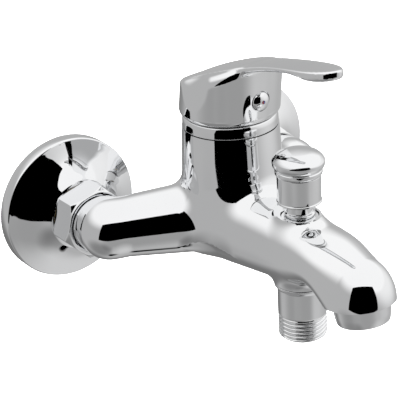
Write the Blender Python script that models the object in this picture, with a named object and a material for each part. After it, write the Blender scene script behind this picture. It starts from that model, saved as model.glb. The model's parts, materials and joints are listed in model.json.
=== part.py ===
"""Wall mounted bath and shower mixer: a cast body on two wall unions, with a lever over a ceramic
disc cartridge, a pull-up diverter on the spout, an aerator and a threaded shower outlet.

Lengths are in millimetres and become metres when a mesh is made. X runs along the wall, -Y points
away from it into the room and +Z is up. The origin lies on the wall plane, midway between the two
inlets and at their height.
"""

import math

import bmesh
import bpy
import numpy as np
from mathutils import Matrix, Vector

MM = 0.001
GAP = 0.3  # clearance between pieces that touch
WELD = 0.5  # corners of the casting's skin nearer than this become one

# Driving dimensions
INLET_X = 50.0  # half the distance between the two inlets
WALL_PIPE_X = 60.0  # half the distance between the two pipes in the wall
BODY_Y = -62.1  # axis of the cartridge housing
DIVERTER_Y = -107.9  # axis of the diverter and of the shower outlet
OUTLET = Vector((0, -145.8, -8.0))  # centre of the spout's outlet face
OUTLET_TILT = 0.17  # radians by which the jet leans forward
FLANGE_RADIUS = 32.7
FLANGE_RIM = 5.8
NUT_BACK = -16.1
NUT_FRONT = -29.0
NUT_APOTHEM = 14.5
ELBOW_BACK = -31.0
ELBOW_Y = -38.0
ELBOW_Z = 1.0
ELBOW_RADIUS = 12.8
ARM_Z = 2.2  # height of an arm's axis where it meets the housing
ARM_RADIUS = 17.0  # where an arm meets the housing
BODY_TOP = 44.0
BODY_TOP_RADIUS = 20.9
BODY_TAPER = 0.052  # how much the housing widens for each millimetre down
CHAMBER_FLOOR = 12.0
CHAMBER_RADIUS = 17.6
PIVOT_Z = 34.0  # the height at which the spindle tilts
HUB_RADIUS = 21.7
HUB_BOTTOM = 49.8
HUB_WIDEST = 52.2
TIP = 134.2  # forward reach of the lever's tip
BOSS_TOP = 17.0  # seat of the diverter bonnet
KNOB_BOTTOM = 23.2
NIPPLE_TOP = -13.2
NIPPLE_BOTTOM = -38.9
THREAD_PITCH = 1.814
DISC_REST = 1.9  # how far behind the cartridge axis the moving disc rests

# Forward distance, half width, top and bottom of the spout
SPOUT = (
    (62.0, 22.5, 21.0, -17.5),
    (70.0, 21.6, 20.4, -17.0),
    (90.0, 18.5, 18.3, -15.0),
    (110.0, 16.0, 15.9, -12.6),
    (130.0, 15.2, 13.6, -9.4),
    (145.8, 14.3, 10.3, -26.3),
)
# Forward distance and half width of the lever's blade, in front of the hub
BLADE = ((52.0, 18.6), (66.0, 14.2), (80.0, 10.2), (95.0, 8.1), (116.0, 7.9))
# Forward distance and thickness of the blade
BLADE_DEPTH = ((84.0, 3.4), (100.0, 2.7), (114.0, 2.8), (123.0, 4.2), (134.2, 4.2))

PORTS = {"hot": (-7.5, 3.5), "cold": (7.5, 3.5), "mixed": (0.0, -8.3)}

MATERIALS = {
    "chrome": ((0.80, 0.80, 0.81), 0.06, 1.0),
    "brass": ((0.72, 0.55, 0.28), 0.32, 1.0),
    "steel": ((0.62, 0.62, 0.63), 0.28, 1.0),
    "rubber": ((0.03, 0.03, 0.03), 0.75, 0.0),
    "fibre": ((0.45, 0.13, 0.09), 0.85, 0.0),
    "ceramic": ((0.88, 0.86, 0.82), 0.18, 0.0),
    "white_plastic": ((0.82, 0.82, 0.80), 0.42, 0.0),
    "grey_plastic": ((0.42, 0.43, 0.44), 0.45, 0.0),
}


def clear_scene():
    for thing in list(bpy.data.objects):
        bpy.data.objects.remove(thing, do_unlink=True)


def finish_for(name, kind):
    colour, roughness, metallic = MATERIALS[kind]
    material = bpy.data.materials.new(name)
    material.use_nodes = True
    shader = material.node_tree.nodes["Principled BSDF"]
    shader.inputs["Base Color"].default_value = (*colour, 1.0)
    shader.inputs["Roughness"].default_value = roughness
    shader.inputs["Metallic"].default_value = metallic
    return material


def solid(name, points, faces, kind, origin=(0, 0, 0)):
    """An object from points in millimetres, given in the world, with its origin at the point named."""
    shift = np.array(origin, float)
    mesh = bpy.data.meshes.new(name)
    mesh.from_pydata(((np.asarray(points, float) - shift) * MM).tolist(), [], [list(f) for f in faces])
    work = bmesh.new()
    work.from_mesh(mesh)
    bmesh.ops.recalc_face_normals(work, faces=work.faces)
    work.to_mesh(mesh)
    work.free()
    mesh.shade_smooth()
    mesh.set_sharp_from_angle(angle=math.radians(35))
    thing = bpy.data.objects.new(name, mesh)
    thing.location = shift * MM
    bpy.context.scene.collection.objects.link(thing)
    if kind:
        mesh.materials.append(finish_for(name, kind))
    return thing


def as_cutter(thing):
    thing.hide_render = True
    thing.display_type = "WIRE"
    return thing


def shape(target, cutter, operation="DIFFERENCE", solver="EXACT"):
    """A Boolean on the target. The other object becomes a hidden cutter."""
    modifier = target.modifiers.new(cutter.name, "BOOLEAN")
    modifier.operation = operation
    modifier.solver = solver
    modifier.object = as_cutter(cutter)
    return target


def frame_along(centre, direction):
    """A matrix that takes local +Z to the direction and the local origin to the centre."""
    turn = Vector((0, 0, 1)).rotation_difference(Vector(direction).normalized())
    return Matrix.Translation(Vector(centre)) @ turn.to_matrix().to_4x4()


def lathe(profile, segments, limit=None):
    """Points and faces of an outline of (radius, height) turned about local Z.

    An outline that starts and ends on the axis closes there, and any other one makes a ring.
    The limit gives the largest radius at each angle, as the flats of a nut do.
    """
    points, rings, faces = [], [], []
    for radius, height in profile:
        start = len(points)
        if radius == 0:
            points.append((0, 0, height))
            rings.append([start] * segments)
            continue
        for step in range(segments):
            angle = math.tau * step / segments
            reach = min(radius, limit(angle)) if limit else radius
            points.append((reach * math.cos(angle), reach * math.sin(angle), height))
        rings.append(list(range(start, start + segments)))
    for lower, upper in zip(rings, rings[1:] + rings[:1]):
        if lower[0] == lower[1] and upper[0] == upper[1]:
            continue
        for step in range(segments):
            after = (step + 1) % segments
            face = [lower[step], lower[after], upper[after], upper[step]]
            faces.append(list(dict.fromkeys(face)))
    return points, faces


def turned(name, profile, kind, centre=(0, 0, 0), along=(0, 0, 1), segments=24, limit=None, origin=None):
    """A lathed piece about an axis through the centre. Heights run along the axis."""
    points, faces = lathe(profile, segments, limit)
    place = frame_along(centre, along)
    points = [place @ Vector(point) for point in points]
    return solid(name, points, faces, kind, origin or centre)


def bore(name, start, end, radius, segments=12):
    """A cylinder between two points, to cut a passage."""
    start, end = Vector(start), Vector(end)
    length = (end - start).length
    profile = [(0, 0), (radius, 0), (radius, length), (0, length)]
    return turned(name, profile, None, start, end - start, segments)


def block(name, low, high, kind=None, origin=(0, 0, 0)):
    corners = [(x, y, z) for x in (low[0], high[0]) for y in (low[1], high[1]) for z in (low[2], high[2])]
    faces = [(0, 1, 3, 2), (4, 6, 7, 5), (0, 4, 5, 1), (2, 3, 7, 6), (0, 2, 6, 4), (1, 5, 7, 3)]
    return solid(name, corners, faces, kind, origin)


def flats(sides, apothem, phase):
    """The radius of a regular prism at each angle."""
    def radius(angle):
        within = (angle - phase + math.pi / sides) % (math.tau / sides) - math.pi / sides
        return apothem / math.cos(within)
    return radius


def ring(name, outer, inner, low, high, kind, centre, along=(0, 0, 1), segments=16, origin=None):
    profile = [(inner, low), (outer, low), (outer, high), (inner, high)]
    return turned(name, profile, kind, centre, along, segments, origin=origin)


def torus(name, middle, thickness, height, kind, centre, origin=None):
    profile = []
    for step in range(6):
        angle = math.tau * step / 6
        profile.append((middle + thickness * math.cos(angle), height + thickness * math.sin(angle)))
    return turned(name, profile, kind, centre, segments=16, origin=origin)


def smooth_value(stations, column, where):
    """A smooth curve through one column of a station table, by cubic Hermite pieces."""
    knots = np.array([row[0] for row in stations])
    values = np.array([row[column] for row in stations])
    slopes = np.gradient(values, knots)
    where = np.clip(where, knots[0], knots[-1])
    index = np.clip(np.searchsorted(knots, where) - 1, 0, len(knots) - 2)
    span = knots[index + 1] - knots[index]
    t = (where - knots[index]) / span
    rise = values[index + 1] - values[index]
    bend_in = slopes[index] * span - rise
    bend_out = rise - slopes[index + 1] * span
    return values[index] + t * rise + t * (1 - t) * (bend_in * (1 - t) + bend_out * t)


# The body is the zero level of a field: a distance-like value, negative inside.

def blend(first, second, width):
    """The smaller of two fields, with a fillet of about the width where they meet."""
    mix = np.clip(0.5 + 0.5 * (second - first) / width, 0, 1)
    return second * (1 - mix) + first * mix - width * mix * (1 - mix)


def cone_field(points, start, end, start_radius, end_radius):
    """A round bar between two points whose radius changes evenly."""
    start, end = np.array(start, float), np.array(end, float)
    axis = end - start
    t = np.clip((points - start) @ axis / (axis @ axis), 0, 1)
    away = np.linalg.norm(points - start - t[:, None] * axis, axis=1)
    return away - start_radius - t * (end_radius - start_radius)


def spout_field(points):
    """Oval sections along the spout, which end in half of a round dome over the outlet."""
    forward = -points[:, 1]
    last = SPOUT[-1][0]
    half_width = smooth_value(SPOUT, 1, forward)
    top = smooth_value(SPOUT, 2, forward)
    bottom = smooth_value(SPOUT, 3, forward)
    across = np.hypot(points[:, 0], np.maximum(forward - last, 0))
    behind = np.maximum(SPOUT[0][0] - forward, 0)
    half_height = (top - bottom) / 2
    level = np.abs(points[:, 2] - (top + bottom) / 2) / half_height
    reach = ((across / half_width) ** 2.2 + level ** 2.2) ** (1 / 2.2)
    return (reach - 1) * np.minimum(half_width, half_height) + behind


def body_field(points):
    x, y, z = points.T
    radius = BODY_TOP_RADIUS + BODY_TAPER * (BODY_TOP - z)
    housing = np.maximum(np.hypot(x, y - BODY_Y) - radius, np.maximum(z - BODY_TOP - 4, -z))
    field = blend(housing, spout_field(points), 7.0)
    for side in (-1, 1):
        elbow = (side * INLET_X, ELBOW_Y, ELBOW_Z)
        arm = cone_field(points, elbow, (0, BODY_Y + 1, ARM_Z), ELBOW_RADIUS, ARM_RADIUS)
        tail = cone_field(points, elbow, (side * INLET_X, -28, ELBOW_Z), ELBOW_RADIUS, ELBOW_RADIUS)
        field = blend(field, blend(arm, tail, 3.0), 6.0)
    boss = cone_field(points, (0, DIVERTER_Y, 4), (0, DIVERTER_Y, BOSS_TOP), 10.5, 8.6)
    foot = cone_field(points, (0, DIVERTER_Y, 0), (0, DIVERTER_Y, -16), 11.8, 11.8)
    return blend(blend(field, boss, 5.0), foot, 3.0)


def level_points(values, axes, cell):
    """For each cell that the level crosses, the mean of the crossings on its edges."""
    shape_of = tuple(size - 1 for size in values.shape)
    total = np.zeros(shape_of + (3,))
    count = np.zeros(shape_of)
    grid = np.stack(np.meshgrid(*axes, indexing="ij"), axis=-1)
    for axis in range(3):
        first = np.take(values, range(values.shape[axis] - 1), axis)
        second = np.take(values, range(1, values.shape[axis]), axis)
        crossed = (first < 0) != (second < 0)
        share = np.where(crossed, first / np.where(crossed, first - second, 1), 0)
        place = np.take(grid, range(values.shape[axis] - 1), axis).copy()
        place[..., axis] += share * cell
        others = [other for other in range(3) if other != axis]
        for shift in ((0, 0), (0, 1), (1, 0), (1, 1)):
            window = [slice(None)] * 3
            for other, step in zip(others, shift):
                window[other] = slice(step, step + shape_of[other])
            window = tuple(window)
            total += place[window] * crossed[window][..., None]
            count += crossed[window]
    used = count > 0
    return used, total[used] / count[used][:, None]


def level_faces(values, index):
    """One quad around each grid edge that the level crosses."""
    faces = []
    for axis in range(3):
        first = np.take(values, range(values.shape[axis] - 1), axis)
        second = np.take(values, range(1, values.shape[axis]), axis)
        one, two = [other for other in range(3) if other != axis]
        for cell in np.argwhere((first < 0) != (second < 0)):
            around = []
            for step_one, step_two in ((1, 1), (0, 1), (0, 0), (1, 0)):
                corner = cell.copy()
                corner[one] -= step_one
                corner[two] -= step_two
                around.append(int(index[tuple(corner)]))
            faces.append(around)
    return faces


def pulled_to_level(field, points, steps=8, probe=0.05):
    """Moves points along the field's slope until they lie on its zero level."""
    for _ in range(steps):
        slope = np.empty_like(points)
        for axis in range(3):
            ahead, back = points.copy(), points.copy()
            ahead[:, axis] += probe
            back[:, axis] -= probe
            slope[:, axis] = (field(ahead) - field(back)) / (2 * probe)
        points = points - field(points)[:, None] * slope / (slope ** 2).sum(axis=1)[:, None]
    return points


def from_field(name, field, low, high, cell, kind):
    axes = [np.arange(start, end + cell, cell) for start, end in zip(low, high)]
    grid = np.stack(np.meshgrid(*axes, indexing="ij"), axis=-1)
    values = field(grid.reshape(-1, 3)).reshape(grid.shape[:3])
    used, points = level_points(values, axes, cell)
    index = np.full(used.shape, -1)
    index[used] = np.arange(len(points))
    thing = solid(name, pulled_to_level(field, points), level_faces(values, index), kind)
    work = bmesh.new()
    work.from_mesh(thing.data)
    bmesh.ops.remove_doubles(work, verts=work.verts, dist=WELD * MM)
    work.to_mesh(thing.data)
    work.free()
    return thing


# Wall side: flanges, unions, nuts and tails

def flange(side, x):
    """A dished escutcheon: a rim on the wall that rises in a bell to the nut."""
    outside = [(FLANGE_RADIUS, 0), (FLANGE_RADIUS, FLANGE_RIM), (31.8, 6.5), (27.5, 7.9), (23.5, 9.7),
               (19.5, 12.3), (15.4, 15.8)]
    inside = [(13.3, 15.8), (13.3, 14.6), (18.0, 10.6), (23.0, 7.7), (30.9, 4.7), (30.9, 0)]
    turned(side + "_flange", outside + inside, "chrome", (x, 0, 0), (0, -1, 0), 32)


def wall_union(side, x):
    """An eccentric union: a wall thread, and a wider thread 10 mm nearer the middle for the nut."""
    pipe_x = math.copysign(WALL_PIPE_X, x)
    nut_end = [(0, 1), (12.6, 1), (12.6, 17.8), (11.8, 18.8), (0, 18.8)]
    wall_end = [(0, -16), (9.5, -16), (10.4, -15), (10.4, 9), (0, 9)]
    piece = turned(side + "_wall_union", nut_end, "brass", (x, 0, 0), (0, -1, 0), 24)
    shape(piece, turned(side + "_union_pipe", wall_end, None, (pipe_x, 0, 0), (0, -1, 0), 24), "UNION")
    shape(piece, bore(side + "_union_nut_bore", (x, -20, 0), (x, -3.5, 0), 7.6))
    shape(piece, bore(side + "_union_pipe_bore", (pipe_x, 17, 0), (pipe_x, -6.3, 0), 6.6))


def union_nut(side, x):
    """A hexagon with a turned front face. Its collar holds the lip of the tail."""
    front, back = -NUT_FRONT, -NUT_BACK
    profile = [(13.0, back), (15.2, back), (17.2, back + 1.1), (17.2, front - 2.6), (15.3, front - 0.9),
               (15.0, front), (10.6, front), (10.6, 24.4), (13.0, 24.4)]
    turned(side + "_union_nut", profile, "chrome", (x, 0, 0), (0, -1, 0), 24,
           flats(6, NUT_APOTHEM, math.radians(-15)))


def union_tail(side, x):
    """A threaded tail: its lip is drawn against the washer by the nut."""
    profile = [(7.2, 21.5), (12.0, 21.5), (12.0, 24.0), (10.1, 24.1), (10.1, 30.4), (9.5, 30.7),
               (9.5, 37.8), (7.2, 37.8)]
    turned(side + "_union_tail", profile, "chrome", (x, 0, 0), (0, -1, 0), 20)
    ring(side + "_filter_washer", 12.2, 6.4, 19.1, 21.2, "fibre", (x, 0, 0), (0, -1, 0))


# Body casting

def carve(body, cutter):
    """Cuts the casting. EXACT leaves open slivers on its curved faces, so this is MANIFOLD."""
    shape(body, cutter, solver="MANIFOLD")


def body_passages(body):
    """Passages for hot, cold and mixed water, all open to the outside."""
    for side, label in ((-1, "hot"), (1, "cold")):
        x = side * INLET_X
        port_x, port_y = PORTS[label][0], BODY_Y + PORTS[label][1]
        carve(body, bore(label + "_tail_socket", (x, -27, 0), (x, -38.4, 0), 9.95, 20))
        carve(body, bore(label + "_elbow_passage", (x, -36, 0), (x, -42.5, 0), 7.4))
        carve(body, bore(label + "_arm_passage", (x + side, -40, 0.4), (side * 5.2, port_y, 0), 5.8))
        carve(body, bore(label + "_riser", (port_x, port_y, 0), (port_x, port_y, 15), 2.7))
    mixed_y = BODY_Y + PORTS["mixed"][1]
    carve(body, bore("mixed_drop", (0, mixed_y, 15), (0, mixed_y, -1), 2.9))
    carve(body, bore("mixed_passage", (0, mixed_y + 2.5, -0.6), (0, DIVERTER_Y, 1.0), 4.2))


def diverter_cavities(body):
    """Two seats, one under the other, between the mixed water, the shower outlet and the spout."""
    axis = (0, DIVERTER_Y, 0)
    seats = [(0, -20), (9.25, -20), (9.25, -6.4), (5.4, -6.4), (5.4, -4.4), (8.4, -4.4), (8.4, 7.4),
             (5.4, 7.4), (5.4, 8.9), (8.05, 8.9), (8.05, 40), (0, 40)]
    carve(body, turned("diverter_bore", seats, None, axis, segments=24))
    spot = [(0, BOSS_TOP), (14.0, BOSS_TOP), (14.0, 40), (0, 40)]
    carve(body, turned("bonnet_seat", spot, None, axis))
    foot = [(0, -40), (13.4, -40), (13.4, NIPPLE_TOP), (0, NIPPLE_TOP)]
    carve(body, turned("nipple_seat", foot, None, axis))
    carve(body, bore("spout_passage", (0, DIVERTER_Y, 10.4), (0, OUTLET.y, -2.4), 3.4))


def outlet_direction():
    return Vector((0, -math.sin(OUTLET_TILT), -math.cos(OUTLET_TILT)))


def mixer_body():
    low, high = (-72, -166, -36), (72, -8, 54)
    body = from_field("mixer_body", body_field, low, high, 6.0, "chrome")
    carve(body, block("elbow_faces", (-90, ELBOW_BACK, -40), (90, 0, 40)))
    top = [(0, BODY_TOP), (30, BODY_TOP), (30, BODY_TOP + 14), (0, BODY_TOP + 14)]
    axis = (0, BODY_Y, 0)
    carve(body, turned("top_face", top, None, axis))
    outlet = [(0, 0), (15.5, 0), (15.5, 40), (0, 40)]
    carve(body, turned("outlet_face", outlet, None, OUTLET, outlet_direction()))
    below, above = OUTLET + 5 * outlet_direction(), OUTLET - 8.4 * outlet_direction()
    carve(body, bore("aerator_socket", below, above, 11.2, 24))
    chamber = [(0, CHAMBER_FLOOR), (CHAMBER_RADIUS, CHAMBER_FLOOR), (CHAMBER_RADIUS, 37.2), (18.6, 37.2),
               (18.6, 60), (0, 60)]
    carve(body, turned("cartridge_chamber", chamber, None, axis, segments=32))
    body_passages(body)
    diverter_cavities(body)


# Cartridge

def port_places():
    return {label: (x, BODY_Y + y, 0) for label, (x, y) in PORTS.items()}


def cartridge_fixed():
    """The pieces of the cartridge that stay still in the body."""
    axis = (0, BODY_Y, 0)
    base = turned("cartridge_base", [(0, 12.9), (17.1, 12.9), (17.1, 16.9), (0, 16.9)], "grey_plastic", axis)
    disc = turned("fixed_ceramic_disc", [(0, 17.2), (14.5, 17.2), (14.5, 20.4), (0, 20.4)], "ceramic", axis)
    for label, place in port_places().items():
        x, y = place[:2]
        shape(base, bore(label + "_base_port", (x, y, 10), (x, y, 18), 2.7))
        shape(base, bore(label + "_base_recess", (x, y, 10), (x, y, 14.4), 4.6, 16))
        shape(disc, bore(label + "_disc_port", (x, y, 16), (x, y, 22), 2.7))
        ring(label + "_port_seal", 4.2, 2.9, 12.3, 14.1, "rubber", place)
    housing = [(14.9, 17.2), (17.2, 17.2), (17.2, 37.6), (12.9, 37.6), (12.9, 45.0), (11.1, 45.0),
               (11.1, 30.9), (14.9, 30.9)]
    turned("cartridge_housing", housing, "white_plastic", axis)
    nut = [(13.3, 37.9), (18.2, 37.9), (18.2, 44.0), (17.0, 44.6), (17.0, 46.0), (13.3, 46.0)]
    turned("retaining_nut", nut, "brass", axis)
    trim = [(18.7, 44.3), (20.7, 44.3), (20.55, 47.6), (20.2, 48.9), (19.6, 49.4), (18.7, 49.4)]
    turned("trim_ring", trim, "chrome", axis, segments=32)


def cartridge_moving():
    """The insert that turns with the lever, the discs that slide in it and the tilting spindle."""
    pivot = (0, BODY_Y, PIVOT_Z)
    axis = (0, BODY_Y, 0)
    guide_profile = [(0, 28.0), (14.4, 28.0), (14.4, 30.6), (10.7, 30.6), (10.7, 44.6), (0, 44.6)]
    guide = turned("turn_guide", guide_profile, "grey_plastic", axis, segments=24, origin=pivot)
    shape(guide, block("guide_slot", (-3.7, BODY_Y - 6.7, 20), (3.7, BODY_Y + 9.0, 50)))
    shape(guide, bore("guide_pin_hole", (-14, BODY_Y, PIVOT_Z), (14, BODY_Y, PIVOT_Z), 1.55))
    pin = [(0, -9.2), (1.25, -9.2), (1.25, 9.2), (0, 9.2)]
    turned("pivot_pin", pin, "steel", pivot, (1, 0, 0), 12)
    spindle = block("spindle", (-3, BODY_Y - 3, 27.9), (3, BODY_Y + 3, 63.5), "brass", pivot)
    tip = [(0, 25.2), (1.6, 25.2), (2.2, 25.8), (2.2, 28.6), (0, 28.6)]
    shape(spindle, turned("spindle_tip", tip, None, axis, segments=20), "UNION")
    shape(spindle, bore("spindle_pin_hole", (-9, BODY_Y, PIVOT_Z), (9, BODY_Y, PIVOT_Z), 1.55))
    disc_axis = (0, BODY_Y + DISC_REST, 0)
    disc = turned("moving_ceramic_disc", [(0, 20.7), (10.4, 20.7), (10.4, 23.7), (0, 23.7)], "ceramic",
                  disc_axis, segments=24)
    hollow = [(0, 19), (6.2, 19), (6.2, 22.4), (0, 22.4)]
    shape(disc, turned("mixing_hollow", hollow, None, disc_axis, segments=20))
    carrier = turned("disc_carrier", [(0, 24.0), (10.0, 24.0), (10.0, 27.2), (0, 27.2)], "grey_plastic",
                     disc_axis, segments=24)
    shape(carrier, bore("carrier_pocket", (0, BODY_Y, 24.6), (0, BODY_Y, 30), 3.6))


# Lever

def lever_height(forward):
    """Height of the blade's top along its middle, a gentle arch that rises towards the tip."""
    t = (forward + BODY_Y) / 50
    return 70.5 + 18.9 * t - 6.8 * t ** 2 + 1.0 * t ** 3


def crown(x, forward):
    """How far the top falls to each side, on a radius of 45 mm in front and a flatter one at the back."""
    backness = min(max(0.5 - 0.5 * (forward + BODY_Y) / HUB_RADIUS, 0), 1) ** 1.5
    return x * x / (90 + 260 * backness)


def hub_solid():
    """A domed hub whose top follows the slope of the blade."""
    points, rings, faces = [], [], []
    segments, power = 36, 6
    profile = [(0, 0, HUB_BOTTOM), (20.4, 0, HUB_BOTTOM)]
    for degrees in (0, 8, 20, 34, 48, 62, 76, 90):
        bend = math.radians(degrees)
        radius = HUB_RADIUS * max(math.cos(bend), 0) ** (2 / power)
        profile.append((radius if degrees < 90 else 0, math.sin(bend) ** (2 / power), HUB_WIDEST))
    for radius, rise, base in profile:
        start = len(points)
        for step in range(segments if radius else 1):
            angle = math.tau * step / segments
            x, y = radius * math.cos(angle), radius * math.sin(angle) + BODY_Y
            points.append((x, y, base + rise * (lever_height(-y) - crown(x, -y) + 0.8 - base)))
        rings.append(list(range(start, start + segments)) if radius else [start] * segments)
    for lower, upper in zip(rings, rings[1:]):
        for step in range(segments):
            after = (step + 1) % segments
            faces.append(list(dict.fromkeys([lower[step], lower[after], upper[after], upper[step]])))
    return solid("lever_handle", points, faces, "chrome", (0, BODY_Y, PIVOT_Z))


def blade_half_width(forward):
    """The hub's circle behind, a waist that narrows forward, and an oval tip."""
    hub_reach = HUB_RADIUS - 0.25
    start, end = BLADE[0][0], BLADE[-1][0]
    if forward < start:
        return math.sqrt(max(hub_reach ** 2 - (forward + BODY_Y) ** 2, 0.04))
    if forward < end:
        return float(smooth_value(BLADE, 1, np.array([forward]))[0])
    share = (forward - end) / (TIP - end)
    return BLADE[-1][1] * max(1 - share ** 2.2, 0.0015) ** 0.5


def blade_solid():
    """The blade, taller than it ends up: the top is cut to its crown afterwards."""
    points, faces = [], []
    back = -BODY_Y - HUB_RADIUS + 0.3
    stations = [back, back + 0.8, back + 2.5, back + 5.5, 52, 59, 66, 73, 80, 84.5, 90, 98, 107, 116,
                120, 124, 128, 131, 133, TIP]
    shares = np.linspace(-1, 1, 7)
    for forward in stations:
        half = blade_half_width(forward)
        top = lever_height(forward) + 4
        depth = float(smooth_value(BLADE_DEPTH, 1, np.array([forward]))[0])
        under = lever_height(forward) - depth if forward > 84 else 56.0
        for share in shares:
            points.append((share * half, -forward, under + 0.9 * share ** 4 - crown(share * half, forward)))
        points.append((half, -forward, top))
        points.append((-half, -forward, top))
    size = len(shares) + 2
    for station in range(len(stations) - 1):
        for step in range(size):
            after = (step + 1) % size
            low, high = station * size, (station + 1) * size
            faces.append((low + step, low + after, high + after, high + step))
    faces.append(tuple(range(size)))
    faces.append(tuple(range(len(points) - size, len(points)))[::-1])
    return solid("lever_blade", points, faces, None)


def above_lever():
    """Everything above the crowned top of hub and blade, to cut it with."""
    across = np.linspace(-25, 25, 9)
    along = np.linspace(36, 138, 16)
    points = [(x, -forward, lever_height(forward) - crown(x, forward)) for forward in along for x in across]
    count = len(points)
    points += [(x, y, 120) for x, y, _ in points]
    faces = []
    columns = len(across)
    for row in range(len(along) - 1):
        for column in range(columns - 1):
            first = row * columns + column
            quad = (first, first + 1, first + columns + 1, first + columns)
            faces.append(quad)
            faces.append(tuple(index + count for index in quad))
    edge = list(range(columns)) + [row * columns + columns - 1 for row in range(1, len(along))]
    edge += list(range(count - 2, count - columns - 1, -1))
    edge += [row * columns for row in range(len(along) - 2, 0, -1)]
    for first, second in zip(edge, edge[1:] + edge[:1]):
        faces.append((first, second, second + count, first + count))
    return solid("above_lever", points, faces, None)


def scoop(name, side):
    """A hollow in the flank of the hub, between its hood and its front."""
    points, faces = lathe([(math.sin(a), -math.cos(a)) if 0 < a < math.pi else (0, -math.cos(a))
                           for a in np.linspace(0, math.pi, 9)], 16)
    stretched = [(side * 27.0 + 13.0 * x, BODY_Y - 3.2 + 11.0 * y, 72.5 + 17.5 * z) for x, y, z in points]
    return solid(name, stretched, faces, None)


def lever():
    pivot = (0, BODY_Y, PIVOT_Z)
    axis = (0, BODY_Y, 0)
    handle = hub_solid()
    shape(handle, blade_solid(), "UNION")
    for name, side in (("left_scoop", -1), ("right_scoop", 1)):
        shape(handle, scoop(name, side))
    shape(handle, above_lever())
    hollow = [(0, 40), (19.9, 40), (19.9, 55.5), (17.0, 58.5), (8.2, 61.0), (8.2, 52.0), (0, 52.0)]
    shape(handle, turned("hub_hollow", hollow, None, axis, segments=28))
    shape(handle, block("spindle_socket", (-3.35, BODY_Y - 3.35, 45), (3.35, BODY_Y + 3.35, 64.2)))
    front = BODY_Y - HUB_RADIUS
    shape(handle, bore("screw_hole", (0, BODY_Y, 60), (0, front - 5, 60), 2.35))
    shape(handle, bore("cap_hole", (0, BODY_Y - 17, 60), (0, front - 5, 60), 3.2))
    shape(handle, bore("cap_seat", (0, front + 0.9, 60), (0, front - 5, 60), 4.6, 20))
    screw = [(0, 3.35), (2.0, 3.35), (2.0, 9.6), (1.0, 9.6), (1.0, 8.0), (0, 8.0)]
    turned("grub_screw", screw, "steel", (0, BODY_Y, 60), (0, -1, 0), 16, origin=pivot)
    cap = [(0, 17.6), (2.85, 17.6), (2.85, 21.1), (4.25, 21.1), (4.25, 22.1), (3.7, 22.9), (2.6, 23.6),
           (1.3, 24.0), (0, 24.1)]
    turned("index_cap", cap, "chrome", (0, BODY_Y, 60), (0, -1, 0), 20, origin=pivot)


# Diverter

def diverter_fixed():
    axis = (0, DIVERTER_Y, 0)
    bonnet = [(4.7, 12.2), (7.75, 12.2), (7.75, 16.3), (6.5, 16.3), (6.5, 18.2), (5.5, 18.7),
              (5.5, 27.6), (5.1, 28.0), (2.2, 28.0), (2.2, 27.2), (3.45, 27.2), (3.45, 25.8), (2.2, 25.8),
              (2.2, 25.0), (4.7, 25.0)]
    turned("diverter_bonnet", bonnet, "chrome", axis, segments=20)
    torus("rod_seal", 2.68, 0.42, 26.5, "rubber", axis)


def diverter_moving():
    axis = (0, DIVERTER_Y, 0)
    rod = [(0, -4.6), (1.9, -4.6), (1.9, 39.4), (0, 39.4)]
    turned("diverter_rod", rod, "brass", axis, segments=20)
    ring("shower_seat_washer", 7.6, 2.2, -4.1, -2.7, "rubber", axis)
    ring("diverter_piston", 7.6, 2.2, -2.4, -1.2, "brass", axis)
    ring("spout_seat_washer", 7.6, 2.2, -0.9, 0.5, "rubber", axis)
    ring("spring_collar", 4.3, 2.2, 12.6, 13.6, "steel", axis)
    sleeve = [(6.3, KNOB_BOTTOM), (9.45, KNOB_BOTTOM), (9.4, 23.9), (9.1, 25.0), (9.15, 29.0), (9.2, 34.9),
              (8.9, 35.2), (2.2, 35.2), (2.2, 33.8), (6.3, 33.8)]
    turned("knob_sleeve", sleeve, "chrome", axis)
    cap = [(0, 40.0), (2.2, 40.0), (2.2, 35.5), (9.6, 35.5), (9.9, 36.2), (9.9, 37.3), (9.5, 37.9),
           (10.2, 38.5), (10.9, 39.6), (10.95, 41.4), (10.5, 42.7), (8.8, 44.1), (5.2, 45.2), (0, 45.7)]
    turned("knob_cap", cap, "chrome", axis)


def diverter_spring():
    """A compression spring of round wire between the bonnet and the collar on the rod."""
    wire, coil, turns, low, high = 0.35, 3.5, 5.0, 14.25, 24.35
    per_turn, around = 12, 4
    points, faces = [], []
    steps = int(turns * per_turn)
    for step in range(steps + 1):
        angle = math.tau * step / per_turn
        height = low + (high - low) * step / steps
        for corner in range(around):
            turn = math.tau * corner / around
            radius = coil + wire * math.cos(turn)
            points.append((radius * math.cos(angle), DIVERTER_Y + radius * math.sin(angle),
                           height + wire * math.sin(turn)))
    for step in range(steps):
        for corner in range(around):
            after = (corner + 1) % around
            low_row, high_row = step * around, (step + 1) * around
            faces.append((low_row + corner, low_row + after, high_row + after, high_row + corner))
    faces.append(tuple(range(around)))
    faces.append(tuple(range(steps * around, (steps + 1) * around))[::-1])
    solid("diverter_spring", points, faces, "steel", (0, DIVERTER_Y, high))


# Outlets

def thread_profile(root, crest, low, high):
    """The outline of a thread as rings: crest and root for each pitch, going down."""
    outline = []
    height = high
    while height - THREAD_PITCH > low:
        outline += [(crest, height), (root, height - THREAD_PITCH * 0.5)]
        height -= THREAD_PITCH
    return outline


def shower_outlet():
    axis = (0, DIVERTER_Y, 0)
    outline = [(7.0, -8.8), (8.9, -8.8), (8.9, NIPPLE_TOP - GAP), (11.7, NIPPLE_TOP - GAP), (11.6, -14.7),
               (10.6, -15.4), (10.35, -16.0), (10.35, -28.0)]
    outline += thread_profile(9.55, 10.4, NIPPLE_BOTTOM + 1.2, -28.4)
    outline += [(9.6, NIPPLE_BOTTOM + 1.2), (8.9, NIPPLE_BOTTOM), (7.0, NIPPLE_BOTTOM)]
    turned("shower_outlet_nipple", outline, "chrome", axis)
    ring("nipple_seal", 8.8, 6.4, -8.5, -6.8, "rubber", axis, segments=24)


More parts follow.
